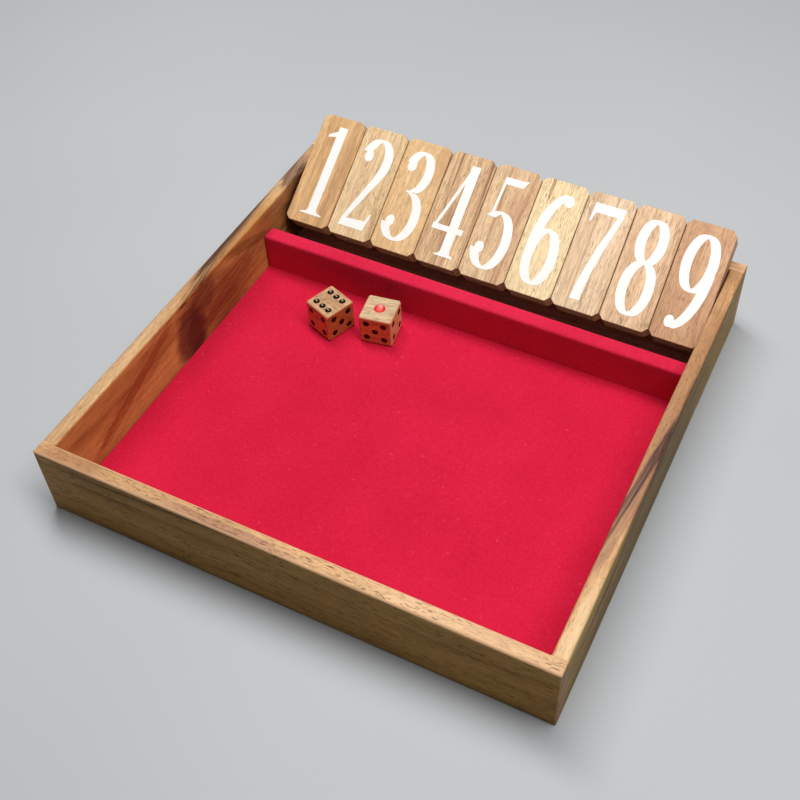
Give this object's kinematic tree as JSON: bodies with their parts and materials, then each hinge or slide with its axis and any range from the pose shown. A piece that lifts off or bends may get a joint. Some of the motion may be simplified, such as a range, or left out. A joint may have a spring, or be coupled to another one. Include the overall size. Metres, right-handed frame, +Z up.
{
  "type": "shut the box game",
  "caption": "Square wooden dice game tray with a red felt floor, a felt-covered rail, a row of numbered flip tiles leaning back on a hidden steel rod, and loose wooden dice.",
  "frame": {"origin": "centre of the tray's underside, on the surface it stands on", "axes": "+X to the player's right along the row of tiles, +Y from the player towards the tiles, +Z up"},
  "size_m": [0.23, 0.2359, 0.055],
  "materials": {
    "front_wood": "satin oiled, dark streaks along the grain",
    "back_wood": "satin oiled",
    "side_wood": "satin oiled, dark heartwood figure",
    "plywood": "bare sanded",
    "rail_wood": "bare sanded",
    "red_felt": "short napped felt",
    "steel_rod": "drawn wire",
    "fastener_steel": "zinc plated",
    "dice_wood": "satin lacquer",
    "tile_1_wood": "satin oiled",
    "tile_2_wood": "satin oiled",
    "tile_3_wood": "satin oiled",
    "tile_4_wood": "satin oiled",
    "tile_5_wood": "satin oiled",
    "tile_6_wood": "satin oiled",
    "tile_7_wood": "satin oiled",
    "tile_8_wood": "satin oiled",
    "tile_9_wood": "satin oiled",
    "white_paint": "matt printed numerals",
    "black_enamel": "gloss enamel in the pips",
    "red_enamel": "gloss enamel in the pip of the one"
  },
  "bodies": {
    "tray": {"front_board": "front_wood", "back_board": "back_wood", "left_board": "side_wood", "right_board": "side_wood", "base_panel": "plywood", "floor_felt": "red_felt", "rail_core": "rail_wood", "rail_felt": "red_felt", "axle_rod": "steel_rod", "base_brads": "fastener_steel", "rail_screws": "fastener_steel"},
    "tile_1": {"tile_1": "tile_1_wood"},
    "tile_2": {"tile_2": "tile_2_wood"},
    "tile_3": {"tile_3": "tile_3_wood"},
    "tile_4": {"tile_4": "tile_4_wood"},
    "tile_5": {"tile_5": "tile_5_wood"},
    "tile_6": {"tile_6": "tile_6_wood"},
    "tile_7": {"tile_7": "tile_7_wood"},
    "tile_8": {"tile_8": "tile_8_wood"},
    "tile_9": {"tile_9": "tile_9_wood"},
    "die_left": {"die_left": "dice_wood"},
    "die_right": {"die_right": "dice_wood"}
  },
  "joints": [
    {"name": "tile_1_flip", "type": "hinge", "parent": "tray", "child": "tile_1", "pos_m": [-0.096, 0.0768, 0.0233], "axis": [1, 0, 0], "range_deg": [0, 126.6]},
    {"name": "tile_2_flip", "type": "hinge", "parent": "tray", "child": "tile_2", "pos_m": [-0.072, 0.0768, 0.0233], "axis": [1, 0, 0], "range_deg": [0, 126.6]},
    {"name": "tile_3_flip", "type": "hinge", "parent": "tray", "child": "tile_3", "pos_m": [-0.048, 0.0768, 0.0233], "axis": [1, 0, 0], "range_deg": [0, 126.6]},
    {"name": "tile_4_flip", "type": "hinge", "parent": "tray", "child": "tile_4", "pos_m": [-0.024, 0.0768, 0.0233], "axis": [1, 0, 0], "range_deg": [0, 126.6]},
    {"name": "tile_5_flip", "type": "hinge", "parent": "tray", "child": "tile_5", "pos_m": [0, 0.0768, 0.0233], "axis": [1, 0, 0], "range_deg": [0, 126.6]},
    {"name": "tile_6_flip", "type": "hinge", "parent": "tray", "child": "tile_6", "pos_m": [0.024, 0.0768, 0.0233], "axis": [1, 0, 0], "range_deg": [0, 126.6]},
    {"name": "tile_7_flip", "type": "hinge", "parent": "tray", "child": "tile_7", "pos_m": [0.048, 0.0768, 0.0233], "axis": [1, 0, 0], "range_deg": [0, 126.6]},
    {"name": "tile_8_flip", "type": "hinge", "parent": "tray", "child": "tile_8", "pos_m": [0.072, 0.0768, 0.0233], "axis": [1, 0, 0], "range_deg": [0, 126.6]},
    {"name": "tile_9_flip", "type": "hinge", "parent": "tray", "child": "tile_9", "pos_m": [0.096, 0.0768, 0.0233], "axis": [1, 0, 0], "range_deg": [0, 126.6]},
    {"name": "die_left_lift", "type": "slide", "parent": "tray", "child": "die_left", "axis": [0, 0, 1], "range_m": [0, 0.06]},
    {"name": "die_right_lift", "type": "slide", "parent": "tray", "child": "die_right", "axis": [0, 0, 1], "range_m": [0, 0.06]}
  ]
}
